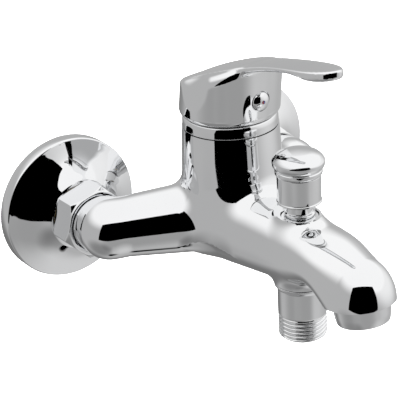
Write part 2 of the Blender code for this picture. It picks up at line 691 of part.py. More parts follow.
def aerator():
    """Heights run down along the jet, from the spout's outlet face."""
    down = outlet_direction()
    housing = [(9.0, -6.4), (10.9, -6.4), (10.9, GAP), (11.95, GAP), (11.4, 5.6), (10.9, 8.0), (10.4, 8.4),
               (9.5, 8.4), (9.5, 6.7), (8.3, 6.7), (8.3, 5.5), (9.0, 5.5)]
    turned("aerator_housing", housing, "chrome", OUTLET, down)
    insert = turned("aerator_insert", [(0, -5.6), (8.7, -5.6), (8.7, 5.2), (0, 5.2)], "white_plastic",
                    OUTLET, down, 20)
    side = down.cross(Vector((1, 0, 0)))
    for step in range(6):
        angle = math.tau * step / 6
        spot = OUTLET + 5.2 * (math.cos(angle) * Vector((1, 0, 0)) + math.sin(angle) * side)
        shape(insert, bore("jet_hole_" + str(step), spot - 8 * down, spot + 8 * down, 1.5, 8))
    ring("aerator_gasket", 10.6, 7.8, -8.2, -6.7, "rubber", OUTLET, down, 24)


def main():
    clear_scene()
    for side, sign in (("left", -1), ("right", 1)):
        x = sign * INLET_X
        flange(side, x)
        wall_union(side, x)
        union_nut(side, x)
        union_tail(side, x)
    mixer_body()
    cartridge_fixed()
    cartridge_moving()
    lever()
    diverter_fixed()
    diverter_moving()
    diverter_spring()
    shower_outlet()
    aerator()


main()
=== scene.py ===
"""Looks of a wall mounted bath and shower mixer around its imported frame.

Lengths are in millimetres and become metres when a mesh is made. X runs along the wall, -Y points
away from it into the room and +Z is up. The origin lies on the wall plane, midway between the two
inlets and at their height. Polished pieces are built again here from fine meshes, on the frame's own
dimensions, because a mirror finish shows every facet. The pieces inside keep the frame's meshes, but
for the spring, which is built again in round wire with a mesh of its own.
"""

import itertools
import json
import math

import bmesh
import bpy
import numpy as np
from mathutils import Matrix, Vector


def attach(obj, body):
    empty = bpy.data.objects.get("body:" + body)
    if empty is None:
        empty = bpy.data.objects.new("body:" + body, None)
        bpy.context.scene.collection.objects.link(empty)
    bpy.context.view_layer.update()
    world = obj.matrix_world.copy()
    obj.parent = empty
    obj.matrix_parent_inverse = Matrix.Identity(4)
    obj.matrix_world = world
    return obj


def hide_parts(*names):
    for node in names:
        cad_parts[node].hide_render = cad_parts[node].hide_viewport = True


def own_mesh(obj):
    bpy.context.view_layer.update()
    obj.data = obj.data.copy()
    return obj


MM = 0.001

# Driving dimensions, as in the frame
INLET_X = 50.0
BODY_Y = -62.1
DIVERTER_Y = -107.9
OUTLET = Vector((0, -145.8, -8.0))
OUTLET_TILT = 0.17  # how far the outlet looks forward of straight down, in radians
FLANGE_RADIUS = 32.7
FLANGE_RIM = 5.8
NUT_BACK = 16.1
NUT_FRONT = 29.0
NUT_APOTHEM = 14.5
NUT_PHASE = math.radians(-15)

# The body casting
ELBOW_BACK = -31.0
ELBOW_Y = -38.0
ELBOW_Z = 1.0
ELBOW_RADIUS = 12.8
TAIL_Y = -28.0  # how far the straight bar behind an elbow reaches, before it is cut at ELBOW_BACK
ARM_Z = 2.2
ARM_RADIUS = 17.0
BODY_TOP = 44.0
BODY_TOP_RADIUS = 20.9
BODY_TAPER = 0.052  # growth of the body's radius for each millimetre down
SPARE = 4.0  # height cast above the body's top, which the cut then removes
BOSS_TOP = 17.0
BOSS_RADII = (10.5, 8.6)
FOOT_RADIUS = 11.8
FOOT_LOW = -16.0
SPOUT_FILLET = 7.0
ARM_FILLET = 6.0
TAIL_FILLET = 3.0
BOSS_FILLET = 5.0
FOOT_FILLET = 3.0
CARTRIDGE_BORE = 17.6
CARTRIDGE_THREAD = 18.6
DIVERTER_BORE = 8.4
UNION_BORE = 9.95
AERATOR_BORE = 11.2

# Forward distance, half width, top and bottom of the spout
SPOUT = (
    (62.0, 22.5, 21.0, -17.5),
    (70.0, 21.6, 20.4, -17.0),
    (90.0, 18.5, 18.3, -15.0),
    (110.0, 16.0, 15.9, -12.6),
    (130.0, 15.2, 13.6, -9.4),
    (145.8, 14.3, 10.3, -26.3),
)
SPOUT_DROOP = 0.2  # how much the spout's end falls for each millimetre past the last of them
SECTION_POWER = 2.2  # 2 would make the sections ellipses, and more squares them

# The lever: its hub, then its blade
HUB_RADIUS = 21.7
HUB_LOW_RADIUS = 20.4
HUB_BOTTOM = 49.8
HUB_WIDEST = 52.2
FRONT_LEAN = 0.10  # how much the hub's front leans out for each millimetre up
BACK_LEAN = 0.20  # how much its back leans in
CROWN_FRONT = 90.0  # the crown falls by x * x over this in front, and over the sum of both at the back
CROWN_BACK = 260.0
STEEPNESS = 0.94  # distance from the sloping top, as a share of the height above it
SHOULDER = (1.2, 2.8)  # rounding beside the crown at the hub's back, and how much more it is in front
SHOULDER_START = 50.0  # forward distance where the rounding begins to grow
SHOULDER_LENGTH = 14.0
SCOOP_CENTRE = (33.0, BODY_Y - 3.5, 75.0)
SCOOP_SIZE = (15.5, 13.0, 20.0)
SCOOP_EDGE = 3.0
ARCH = (70.5, 18.9, -6.8, 1.0)  # the top's height, as a cubic of t
ARCH_LENGTH = 50.0  # t is the distance forward of the hub's axis over this
TIP = 134.2
# Forward distance and half width of the blade
BLADE = ((52.0, 18.6), (66.0, 14.2), (80.0, 10.2), (95.0, 8.1), (116.0, 7.9))
BLADE_END = BLADE[-1][0]
BLADE_BACK = 56.0
# Forward distance and thickness of the blade
BLADE_DEPTH = ((84.0, 3.4), (100.0, 2.7), (114.0, 2.8), (123.0, 4.2), (134.2, 4.2))
BLADE_CUP = 0.9  # how much the blade's underside rises at its edges
SCREW_Z = 60.0
SCREW_HOLE = 2.35
BUTTON_HOLE = 4.6
SPINDLE_SLOT = 3.35  # half the width of the square hole that takes the spindle
MARK_SPLIT = 0.00005  # half the width of the line between the mark's two tones, in metres

# The diverter and the hose outlet
KNOB_BOTTOM = 23.2
SPRING_WIRE = 0.35
SPRING_RADIUS = 3.5
SPRING_TURNS = 5
SPRING_LOW = 14.25
SPRING_HIGH = 24.35
NIPPLE_TOP = -13.2
NIPPLE_BOTTOM = -38.9
THREAD_PITCH = 1.814
THREAD_ROOT = 9.4
THREAD_CREST = 10.35
THREAD_STEP = 0.1512  # height of one ring of the thread's mesh
THREAD_FADES = (1.2, 1.0)  # lengths over which the thread starts, below and above

# The studio
CAMERA_PLACE = (-343.9, -541.3, 282.5)
CAMERA_RIGHT = (0.812, -0.582, -0.053)
CAMERA_UP = (0.285, 0.315, 0.905)
CAMERA_LENS = 133.9
SENSOR = 36.0
FLOOR_Z = -420.0
WALL_REACH = 8000.0
CARD_DISTANCE = 900.0
CARD_Z = 15.0
# Turn to the right of straight ahead of the object, and rise, of the dark card's corners, in degrees
CARD = ((-78, -16.8), (10, -16.8), (14, 37), (-66, 37))
BRIGHTEST = 1.0  # the studio's strongest light
# Direction, cosines of the angle to it where a tone starts and is full, and the light it adds
TONES = (
    ((0, 0, 1), -1.0, -0.99, 0.46),
    ((0, 0, 1), 0.25, 0.75, 0.55),
    ((0.78, -0.38, 0.50), 0.40, 0.95, 0.46),
    ((-0.35, -0.75, -0.56), 0.75, 1.0, -0.12),
    ((0.3, -0.5, -0.85), 0.80, 1.0, 0.20),
    ((0.15, 0.75, -0.65), 0.78, 1.0, -0.28),
    ((-0.55, 0.0, -0.83), 0.75, 1.0, -0.22),
)

# Limits used when meshes are made
AXIS_RADIUS = 1e-6  # a point nearer to the axis than this is on it
MOST_OF_EDGE = 0.49  # how much of an edge the rounding of one of its corners may use
SKIN = 0.05  # a vertex nearer to the field's level than this is on the cast skin
SAME_WAY = 0.5  # least cosine between a face's normal and the field's for the face to follow it

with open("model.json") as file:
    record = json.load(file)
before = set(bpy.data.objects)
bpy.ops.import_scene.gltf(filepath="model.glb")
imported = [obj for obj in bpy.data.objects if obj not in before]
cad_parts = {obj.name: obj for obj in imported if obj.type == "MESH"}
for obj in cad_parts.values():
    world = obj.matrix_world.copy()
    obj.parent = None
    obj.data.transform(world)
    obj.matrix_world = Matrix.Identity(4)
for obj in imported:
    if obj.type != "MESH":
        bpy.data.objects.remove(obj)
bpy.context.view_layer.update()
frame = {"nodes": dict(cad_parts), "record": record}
NODE_SLOT = {entry["node"]: entry["material_slot"] for entry in frame["record"]["subparts"]}
NODE_BODY = {
    node: body for body, nodes in frame["record"]["behaviour"]["bodies"].items() for node in nodes
}


# Materials

def new_material(name, colour, roughness, metallic):
    material = bpy.data.materials.new(name)
    material.use_nodes = True
    shader = material.node_tree.nodes["Principled BSDF"]
    shader.inputs["Base Color"].default_value = (*colour, 1.0)
    shader.inputs["Roughness"].default_value = roughness
    shader.inputs["Metallic"].default_value = metallic
    return material, shader


def add_node(material, kind, **values):
    """A node with its inputs set by name, spaces written as underscores."""
    node = material.node_tree.nodes.new(kind)
    for name, value in values.items():
        node.inputs[name.replace("_", " ")].default_value = value
    return node


def join(material, source, target):
    material.node_tree.links.new(source, target)


def object_noise(material, scale, detail, stretch=(1, 1, 1)):
    """Noise in the object's own coordinates, in cycles per metre."""
    place = material.node_tree.nodes.new("ShaderNodeTexCoord")
    mapping = add_node(material, "ShaderNodeMapping", Scale=stretch)
    noise = add_node(material, "ShaderNodeTexNoise", Scale=scale, Detail=detail)
    join(material, place.outputs["Object"], mapping.inputs["Vector"])
    join(material, mapping.outputs["Vector"], noise.inputs["Vector"])
    return noise.outputs["Fac"]


def ranged(material, value, low, high):
    """The value, which runs from 0 to 1, spread from low to high."""
    node = add_node(material, "ShaderNodeMapRange", To_Min=low, To_Max=high)
    join(material, value, node.inputs["Value"])
    return node.outputs["Result"]


def coloured(material, value, low, high):
    """A colour that runs from low to high with the value."""
    ramp = material.node_tree.nodes.new("ShaderNodeValToRGB")
    for stop, colour, position in zip(ramp.color_ramp.elements, (low, high), (0.35, 0.65)):
        stop.color = (*colour, 1)
        stop.position = position
    join(material, value, ramp.inputs["Fac"])
    return ramp.outputs["Color"]


def bumped(material, shader, height, distance):
    """Adds relief, whose full height is the distance in millimetres."""
    node = add_node(material, "ShaderNodeBump", Strength=1.0, Distance=distance * MM)
    join(material, height, node.inputs["Height"])
    join(material, node.outputs["Normal"], shader.inputs["Normal"])


def chrome():
    """Mirror plating: faint casting waves under it and a roughness that wanders with wiping."""
    material, shader = new_material("chrome", (0.90, 0.905, 0.915), 0.03, 1.0)
    wiping = ranged(material, object_noise(material, 60, 5), 0.012, 0.05)
    join(material, wiping, shader.inputs["Roughness"])
    tint = coloured(material, object_noise(material, 25, 2), (0.885, 0.89, 0.90), (0.915, 0.92, 0.925))
    join(material, tint, shader.inputs["Base Color"])
    bumped(material, shader, object_noise(material, 90, 1), 0.006)
    return material


def machined(name, dark, light, roughness, across):
    """Turned metal with fine tool marks and a mottled tone."""
    material, shader = new_material(name, light, roughness, 1.0)
    mottle = coloured(material, object_noise(material, 180, 6), dark, light)
    join(material, mottle, shader.inputs["Base Color"])
    marks = object_noise(material, 900, 2, across)
    spread = ranged(material, marks, roughness - 0.08, roughness + 0.12)
    join(material, spread, shader.inputs["Roughness"])
    bumped(material, shader, marks, 0.02)
    return material


def rubber():
    """Black rubber with a fine dull grain."""
    material, shader = new_material("rubber", (0.022, 0.022, 0.024), 0.7, 0.0)
    grain = object_noise(material, 2500, 6)
    tone = coloured(material, object_noise(material, 200, 3), (0.018, 0.018, 0.02), (0.04, 0.04, 0.042))
    join(material, tone, shader.inputs["Base Color"])
    join(material, ranged(material, grain, 0.6, 0.85), shader.inputs["Roughness"])
    bumped(material, shader, grain, 0.03)
    return material


def fibre():
    """Red vulcanised fibre, with its fibres lying one way."""
    material, shader = new_material("fibre", (0.42, 0.12, 0.08), 0.85, 0.0)
    grain = object_noise(material, 1500, 8, (1, 6, 1))
    tone = coloured(material, grain, (0.34, 0.09, 0.06), (0.52, 0.18, 0.12))
    join(material, tone, shader.inputs["Base Color"])
    bumped(material, shader, grain, 0.05)
    return material


def ceramic():
    """Lapped ceramic, nearly smooth."""
    material, shader = new_material("ceramic", (0.88, 0.86, 0.82), 0.15, 0.0)
    grain = object_noise(material, 1200, 4)
    tone = coloured(material, grain, (0.85, 0.83, 0.79), (0.91, 0.89, 0.85))
    join(material, tone, shader.inputs["Base Color"])
    join(material, ranged(material, grain, 0.1, 0.24), shader.inputs["Roughness"])
    return material


def moulded(name, dark, light):
    """Moulded plastic with a fine spark-eroded grain."""
    material, shader = new_material(name, light, 0.45, 0.0)
    grain = object_noise(material, 3000, 3)
    tone = coloured(material, object_noise(material, 120, 3), dark, light)
    join(material, tone, shader.inputs["Base Color"])
    join(material, ranged(material, grain, 0.36, 0.56), shader.inputs["Roughness"])
    bumped(material, shader, grain, 0.015)
    return material


MATERIALS = {
    "chrome": chrome(),
    "brass": machined("brass", (0.60, 0.43, 0.19), (0.78, 0.60, 0.30), 0.28, (1, 12, 1)),
    "steel": machined("steel", (0.50, 0.50, 0.51), (0.66, 0.66, 0.67), 0.25, (1, 1, 12)),
    "rubber": rubber(),
    "fibre": fibre(),
    "ceramic": ceramic(),
    "white_plastic": moulded("white_plastic", (0.76, 0.76, 0.74), (0.84, 0.84, 0.82)),
    "grey_plastic": moulded("grey_plastic", (0.34, 0.35, 0.36), (0.44, 0.45, 0.46)),
}


# Meshes

def new_object(name, points, faces):
    """An object from points in millimetres, with its faces turned outwards."""
    mesh = bpy.data.meshes.new(name)
    mesh.from_pydata((np.asarray(points, float) * MM).tolist(), [], [list(face) for face in faces])
    work = bmesh.new()
    work.from_mesh(mesh)
    bmesh.ops.recalc_face_normals(work, faces=work.faces)
    work.to_mesh(mesh)
    work.free()
    thing = bpy.data.objects.new(name, mesh)
    bpy.context.scene.collection.objects.link(thing)
    return thing


def stands_for(thing, node):
    """The piece takes the place, the body, the slot and the finish of a CAD node."""
    slot = NODE_SLOT[node]
    thing.data.materials.clear()
    thing.data.materials.append(MATERIALS[slot])
    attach(thing, NODE_BODY[node])
    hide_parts(node)


def area_normals(thing):
    """Smooth shading whose normals follow the large faces, so that only the small roundings bend."""
    mesh = thing.data
    mesh.shade_smooth()
    normals = np.zeros((len(mesh.vertices), 3))
    for face in mesh.polygons:
        normals[list(face.vertices)] += np.array(face.normal) * face.area
    lengths = np.linalg.norm(normals, axis=1)
    normals[lengths > 0] /= lengths[lengths > 0][:, None]
    mesh.normals_split_custom_set_from_vertices(normals.tolist())
    return thing


def frame_along(centre, direction):
    """A matrix that takes local +Z to the direction and the local origin to the centre."""
    turn = Vector((0, 0, 1)).rotation_difference(Vector(direction).normalized())
    return Matrix.Translation(Vector(centre)) @ turn.to_matrix().to_4x4()


def rounded(outline, radius, steps=5, closed=True):
    """The outline with its corners rounded. A third number on a point is its own radius."""
    points = [np.array(point[:2], float) for point in outline]
    result = []
    count = len(points)
    for index, point in enumerate(points):
        if not closed and index in (0, count - 1):
            result.append(tuple(point))
            continue
        own = outline[index][2] if len(outline[index]) > 2 else radius
        before = points[index - 1] - point
        after = points[(index + 1) % count] - point
        back, ahead = np.linalg.norm(before), np.linalg.norm(after)
        reach = min(own, MOST_OF_EDGE * back, MOST_OF_EDGE * ahead)
        start = point + before / back * reach
        end = point + after / ahead * reach
        for t in np.linspace(0, 1, steps):
            bend = start * (1 - t) ** 2 + 2 * point * t * (1 - t) + end * t ** 2
            result.append(tuple(bend))
    return result


def lathe(outline, segments, radius_at=None, closed=True):
    """Points and faces of an outline of (radius, height) turned about local Z."""
    points, rings, faces = [], [], []
    for radius, height in outline:
        start = len(points)
        if radius < AXIS_RADIUS:
            points.append((0, 0, height))
            rings.append([start] * segments)
            continue
        for step in range(segments):
            angle = math.tau * step / segments
            reach = radius_at(radius, height, angle) if radius_at else radius
            points.append((reach * math.cos(angle), reach * math.sin(angle), height))
        rings.append(list(range(start, start + segments)))
    following = rings[1:] + rings[:1] if closed else rings[1:]
    for lower, upper in zip(rings, following):
        if lower[0] == lower[1] and upper[0] == upper[1]:
            continue
        for step in range(segments):
            after = (step + 1) % segments
            face = [lower[step], lower[after], upper[after], upper[step]]
            faces.append(list(dict.fromkeys(face)))
    return points, faces


def turned(name, outline, centre=(0, 0, 0), along=(0, 0, 1), segments=128, radius_at=None,
           closed=True):
    """A piece turned about the line through the centre. Heights in the outline run along it."""
    points, faces = lathe(outline, segments, radius_at, closed)
    place = frame_along(centre, along)
    return area_normals(new_object(name, [place @ Vector(point) for point in points], faces))


def solid_of(outline, radius):
    """A rounded outline that starts and ends on the axis."""
    return rounded(outline, radius, closed=False)


def cutter(outline, centre=(0, 0, 0), along=(0, 0, 1), segments=96):
    """A turned solid to cut with, whose outline starts and ends on the axis."""
    points, faces = lathe(outline, segments, closed=False)
    place = frame_along(centre, along)
    return new_object("cutter", [place @ Vector(point) for point in points], faces)


def drill(start, end, radius):
    """A round bar to cut with, between two points."""
    start, end = Vector(start), Vector(end)
    length = (end - start).length
    return cutter([(0, 0), (radius, 0), (radius, length), (0, length)], start, end - start, 48)


def box_cutter(low, high):
    corners = list(itertools.product(*zip(low, high)))
    faces = [(0, 1, 3, 2), (4, 6, 7, 5), (0, 4, 5, 1), (2, 3, 7, 6), (0, 2, 6, 4), (1, 5, 7, 3)]
    return new_object("cutter", corners, faces)


def cut(thing, cutters):
    """Cuts the piece with each cutter in turn, then removes them."""
    for other in cutters:
        modifier = thing.modifiers.new("cut", "BOOLEAN")
        modifier.operation = "DIFFERENCE"
        modifier.solver = "MANIFOLD"
        modifier.object = other
    graph = bpy.context.evaluated_depsgraph_get()
    mesh = bpy.data.meshes.new_from_object(thing.evaluated_get(graph))
    thing.modifiers.clear()
    thing.data = mesh
    for other in cutters:
        bpy.data.objects.remove(other)


def smooth_value(stations, column, where):
    """A smooth curve through one column of a station table, by cubic Hermite pieces."""
    knots = np.array([row[0] for row in stations])
    values = np.array([row[column] for row in stations])
    slopes = np.gradient(values, knots)
    where = np.clip(where, knots[0], knots[-1])
    index = np.clip(np.searchsorted(knots, where) - 1, 0, len(knots) - 2)
    span = knots[index + 1] - knots[index]
    t = (where - knots[index]) / span
    rise = values[index + 1] - values[index]
    bend_in = slopes[index] * span - rise
    bend_out = rise - slopes[index + 1] * span
    return values[index] + t * rise + t * (1 - t) * (bend_in * (1 - t) + bend_out * t)


# Cast shapes are the zero level of a field: a distance-like value, negative inside.

def blend(first, second, width):
    """The smaller of two fields, with a fillet of about the width where they meet."""
    mix = np.clip(0.5 + 0.5 * (second - first) / width, 0, 1)
    return second * (1 - mix) + first * mix - width * mix * (1 - mix)


def meet(first, second, width):
    """The larger of two fields, with a rounded edge where they meet."""
    return -blend(-first, -second, width)


def slope_of(field, points, probe=0.02):
    """The field's gradient at the points, by central differences."""
    slope = np.empty_like(points)
    for axis in range(3):
        ahead, back = points.copy(), points.copy()
        ahead[:, axis] += probe
        back[:, axis] -= probe
        slope[:, axis] = (field(ahead) - field(back)) / (2 * probe)
    return slope


def pulled_to_level(field, points, steps=8):
    """The points moved down the field's gradient onto its zero level."""
    for _ in range(steps):
        slope = slope_of(field, points)
        points = points - field(points)[:, None] * slope / (slope ** 2).sum(axis=1)[:, None]
    return points


def level_points(values, axes, cell):
    """For each cell that the level crosses, the mean of the crossings on its edges."""
    shape_of = tuple(size - 1 for size in values.shape)
    total = np.zeros(shape_of + (3,))
    count = np.zeros(shape_of)
    grid = np.stack(np.meshgrid(*axes, indexing="ij"), axis=-1)
    for axis in range(3):
        first = np.take(values, range(values.shape[axis] - 1), axis)
        second = np.take(values, range(1, values.shape[axis]), axis)
        crossed = (first < 0) != (second < 0)
        share = np.where(crossed, first / np.where(crossed, first - second, 1), 0)
        place = np.take(grid, range(values.shape[axis] - 1), axis).copy()
        place[..., axis] += share * cell
        others = [other for other in range(3) if other != axis]
        for shift in ((0, 0), (0, 1), (1, 0), (1, 1)):
            window = [slice(None)] * 3
            for other, step in zip(others, shift):
                window[other] = slice(step, step + shape_of[other])
            window = tuple(window)
            total += place[window] * crossed[window][..., None]
            count += crossed[window]
    used = count > 0
    return used, total[used] / count[used][:, None]


def level_faces(values, index):
    """One quad around each grid edge that the level crosses."""
    faces = []
    for axis in range(3):
        first = np.take(values, range(values.shape[axis] - 1), axis)
        second = np.take(values, range(1, values.shape[axis]), axis)
        one, two = [other for other in range(3) if other != axis]
        cells = np.argwhere((first < 0) != (second < 0))
        around = []
        for step_one, step_two in ((1, 1), (0, 1), (0, 0), (1, 0)):
            corner = cells.copy()
            corner[:, one] -= step_one
            corner[:, two] -= step_two
            around.append(index[tuple(corner.T)])
        faces += np.stack(around, axis=1).tolist()
    return faces


def from_field(name, field, low, high, cell):
    """A mesh of the field's zero level: one vertex in each crossed cell, joined in quads."""
    axes = [np.arange(start, end + cell, cell) for start, end in zip(low, high)]
    grid = np.stack(np.meshgrid(*axes, indexing="ij"), axis=-1)
    values = field(grid.reshape(-1, 3)).reshape(grid.shape[:3])
    used, points = level_points(values, axes, cell)
    index = np.full(used.shape, -1)
    index[used] = np.arange(len(points))
    return new_object(name, pulled_to_level(field, points), level_faces(values, index))


def field_normals(thing, field):
    """Normals straight from the field on the cast skin, and flat ones on the faces cut into it."""
    mesh = thing.data
    mesh.shade_smooth()
    points = np.array([vertex.co for vertex in mesh.vertices]) / MM
    slope = slope_of(field, points)
    slope /= np.linalg.norm(slope, axis=1)[:, None]
    on_skin = np.abs(field(points)) < SKIN
    normals = [None] * len(mesh.loops)
    for face in mesh.polygons:
        flat = np.array(face.normal)
        skin = all(on_skin[vertex] for vertex in face.vertices)
        for loop, vertex in zip(face.loop_indices, face.vertices):
            follows = skin and slope[vertex] @ flat > SAME_WAY
            normals[loop] = slope[vertex] if follows else flat
    mesh.normals_split_custom_set([tuple(normal) for normal in normals])


# Body casting

def cone_field(points, start, end, start_radius, end_radius):
    """A round bar between two points whose radius changes evenly."""
    start, end = np.array(start, float), np.array(end, float)
    axis = end - start
    t = np.clip((points - start) @ axis / (axis @ axis), 0, 1)
    off_axis = np.linalg.norm(points - start - t[:, None] * axis, axis=1)
    return off_axis - start_radius - t * (end_radius - start_radius)


def spout_field(points):
    """Oval sections along the spout, which end in half of a round dome over the outlet."""
    forward = -points[:, 1]
    last = SPOUT[-1][0]
    half_width = smooth_value(SPOUT, 1, forward)
    top = smooth_value(SPOUT, 2, forward)
    bottom = smooth_value(SPOUT, 3, forward)
    across = np.hypot(points[:, 0], np.maximum(forward - last, 0))
    behind = np.maximum(SPOUT[0][0] - forward, 0)
    half_height = (top - bottom) / 2 - SPOUT_DROOP * np.clip(forward - last, 0, half_width)
    level = np.abs(points[:, 2] - (top + bottom) / 2) / half_height
    reach = ((across / half_width) ** SECTION_POWER + level ** SECTION_POWER) ** (1 / SECTION_POWER)
    return (reach - 1) * np.minimum(half_width, half_height) + behind


def body_field(points):
    """The housing with its spout, two arms and elbows, the stem's boss and the outlet's foot."""
    x, y, z = points.T
    radius = BODY_TOP_RADIUS + BODY_TAPER * (BODY_TOP - z)
    housing = np.maximum(np.hypot(x, y - BODY_Y) - radius, np.maximum(z - BODY_TOP - SPARE, -z))
    field = blend(housing, spout_field(points), SPOUT_FILLET)
    for side in (-1, 1):
        elbow = (side * INLET_X, ELBOW_Y, ELBOW_Z)
        arm = cone_field(points, elbow, (0, BODY_Y + 1, ARM_Z), ELBOW_RADIUS, ARM_RADIUS)
        tail = cone_field(points, elbow, (side * INLET_X, TAIL_Y, ELBOW_Z), ELBOW_RADIUS, ELBOW_RADIUS)
        field = blend(field, blend(arm, tail, TAIL_FILLET), ARM_FILLET)
    boss = cone_field(points, (0, DIVERTER_Y, 4), (0, DIVERTER_Y, BOSS_TOP), *BOSS_RADII)
    foot = cone_field(points, (0, DIVERTER_Y, 0), (0, DIVERTER_Y, FOOT_LOW), FOOT_RADIUS, FOOT_RADIUS)
    return blend(blend(field, boss, BOSS_FILLET), foot, FOOT_FILLET)


def outlet_direction():
    return Vector((0, -math.sin(OUTLET_TILT), -math.cos(OUTLET_TILT)))


def body_openings():
    """Cutters for the casting's flat ends and its bores."""
    housing_axis = (0, BODY_Y, 0)
    stem_axis = (0, DIVERTER_Y, 0)
    down = outlet_direction()
    cartridge = [(0, 12), (CARTRIDGE_BORE, 12), (CARTRIDGE_BORE, 37.2), (CARTRIDGE_THREAD, 37.2),
                 (CARTRIDGE_THREAD, 60), (0, 60)]
    diverter = [(0, -20), (9.25, -20), (9.25, -6.4), (DIVERTER_BORE, -4.4), (DIVERTER_BORE, 7.4),
                (8.05, 8.9), (8.05, 40), (0, 40)]
    return [
        box_cutter((-90, ELBOW_BACK, -40), (90, 0, 40)),
        cutter([(0, BODY_TOP), (30, BODY_TOP), (30, 60), (0, 60)], housing_axis),
        cutter([(0, 0), (15.5, 0), (15.5, 40), (0, 40)], OUTLET, down),
        drill(OUTLET + 5 * down, OUTLET - 8.4 * down, AERATOR_BORE),
        cutter(cartridge, housing_axis),
        cutter(diverter, stem_axis),
        cutter([(0, BOSS_TOP), (14.0, BOSS_TOP), (14.0, 40), (0, 40)], stem_axis),
        cutter([(0, -40), (13.4, -40), (13.4, NIPPLE_TOP), (0, NIPPLE_TOP)], stem_axis),
        drill((-INLET_X, -27, 0), (-INLET_X, -38.4, 0), UNION_BORE),
        drill((INLET_X, -27, 0), (INLET_X, -38.4, 0), UNION_BORE),
    ]


def mixer_body():
    body = from_field("casting", body_field, (-72, -166, -36), (72, -8, 54), cell=1.3)
    cut(body, body_openings())
    field_normals(body, body_field)
    stands_for(body, "mixer_body")


# Lever

def lever_height(forward):
    """Height of the blade's top along its middle, a gentle arch that rises towards the tip."""
    t = (forward + BODY_Y) / ARCH_LENGTH
    return ARCH[0] + ARCH[1] * t + ARCH[2] * t ** 2 + ARCH[3] * t ** 3


def smooth_step(value):
    value = np.clip(value, 0, 1)
    return value * value * (3 - 2 * value)


def hub_field(points, top, backness):
    """A round hub under the crown. Above its widest height the front leans out and the back in."""
    x, y, z = points.T
    height = z - HUB_WIDEST
    lean = BACK_LEAN * height * backness - FRONT_LEAN * height * (1 - backness)
    lean = np.where(height > 0, lean, 0)
    foot_share = np.clip(-height, 0, 4) / (HUB_WIDEST - HUB_BOTTOM)
    foot = (HUB_RADIUS - HUB_LOW_RADIUS) * foot_share ** 2
    side = np.hypot(x, y - BODY_Y) - HUB_RADIUS + lean + foot
    shoulder = SHOULDER[0] + SHOULDER[1] * smooth_step((-y - SHOULDER_START) / SHOULDER_LENGTH)
    hub = meet(meet(side, top, shoulder), HUB_BOTTOM - z, 0.5)
    for way in (-1, 1):
        centre = np.array(SCOOP_CENTRE) * (way, 1, 1)
        scoop = np.sqrt((((points - centre) / SCOOP_SIZE) ** 2).sum(axis=1))
        hub = meet(hub, (1 - scoop) * SCOOP_SIZE[1], SCOOP_EDGE)
    return hub


def blade_field(points, top, crown):
    """A blade that narrows to a rounded tip. The crown is the height of its top."""
    x, y, z = points.T
    forward = -y
    share = np.clip((forward - BLADE_END) / (TIP - BLADE_END), 0, None)
    width = smooth_value(BLADE, 1, forward)
    edge = (np.sqrt((x / width) ** 2 + share ** SECTION_POWER) - 1) * width
    depth = smooth_value(BLADE_DEPTH, 1, forward)
    under = crown - depth + BLADE_CUP * (np.abs(x) / width) ** 4
    back_end = BLADE_BACK - forward
    return meet(meet(edge, top, 0.9), meet((under - z) * STEEPNESS, back_end, 1.0), 1.4)


def lever_field(points):
    """The hub and the blade share one crowned top, and two scoops are cut beside the blade's root."""
    x, y, z = points.T
    backness = np.clip(0.5 + 0.5 * (y - BODY_Y) / HUB_RADIUS, 0, 1) ** 1.5
    sag = x * x / (CROWN_FRONT + CROWN_BACK * backness)
    crown = lever_height(-y) - sag
    top = (z - crown) * STEEPNESS
    return blend(hub_field(points, top, backness), blade_field(points, top, crown), 1.6)


def lever_handle():
    handle = from_field("lever", lever_field, (-24, -138, 47), (24, -37, 90), cell=0.8)
    axis = (0, BODY_Y, 0)
    front = BODY_Y - HUB_RADIUS
    hollow = [(0, 40), (19.9, 40), (19.9, 55.5), (17.0, 58.5), (8.2, 61.0), (8.2, 52.0), (0, 52.0)]
    cut(handle, [
        cutter(hollow, axis),
        box_cutter((-SPINDLE_SLOT, BODY_Y - SPINDLE_SLOT, 45),
                   (SPINDLE_SLOT, BODY_Y + SPINDLE_SLOT, 64.2)),
        drill((0, BODY_Y, SCREW_Z), (0, front - 5, SCREW_Z), SCREW_HOLE),
        drill((0, front + 0.9, SCREW_Z), (0, front - 5, SCREW_Z), BUTTON_HOLE),
    ])
    field_normals(handle, lever_field)
    stands_for(handle, "lever_handle")


def two_tone_paint():
    """Red on one half and blue on the other, split down the middle of the mark."""
    material, shader = new_material("index_paint", (0.3, 0.05, 0.05), 0.3, 0.0)
    place = material.node_tree.nodes.new("ShaderNodeTexCoord")
    split = material.node_tree.nodes.new("ShaderNodeSeparateXYZ")
    join(material, place.outputs["Object"], split.inputs["Vector"])
    half = add_node(material, "ShaderNodeMapRange", From_Min=-MARK_SPLIT, From_Max=MARK_SPLIT)
    join(material, split.outputs["X"], half.inputs["Value"])
    tone = coloured(material, half.outputs["Result"], (0.16, 0.012, 0.012), (0.02, 0.03, 0.16))
    join(material, tone, shader.inputs["Base Color"])
    return material


def index_cap():
    """A button over the screw hole, with a small two-tone mark for hot and cold."""
    centre, outward = (0, BODY_Y, SCREW_Z), (0, -1, 0)
    outline = solid_of([(0, 17.6), (2.85, 17.6), (2.85, 21.1), (4.25, 21.1), (4.25, 22.1, 0.4),
                        (3.7, 22.9, 0.9), (2.6, 23.6, 1.0), (1.3, 24.0, 1.0), (0, 24.1)], 0.2)
    cap = turned("index_button", outline, centre, outward, 96, closed=False)
    stands_for(cap, "index_cap")
    outline = solid_of([(0, 23.5), (0.8, 23.5), (0.8, 24.12), (0, 24.2)], 0.12)
    mark = turned("index_mark", outline, centre, outward, 48, closed=False)
    mark.data.materials.append(two_tone_paint())
    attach(mark, "lever")


# Turned pieces. Outlines are (radius, height) pairs, and a third number rounds that corner.

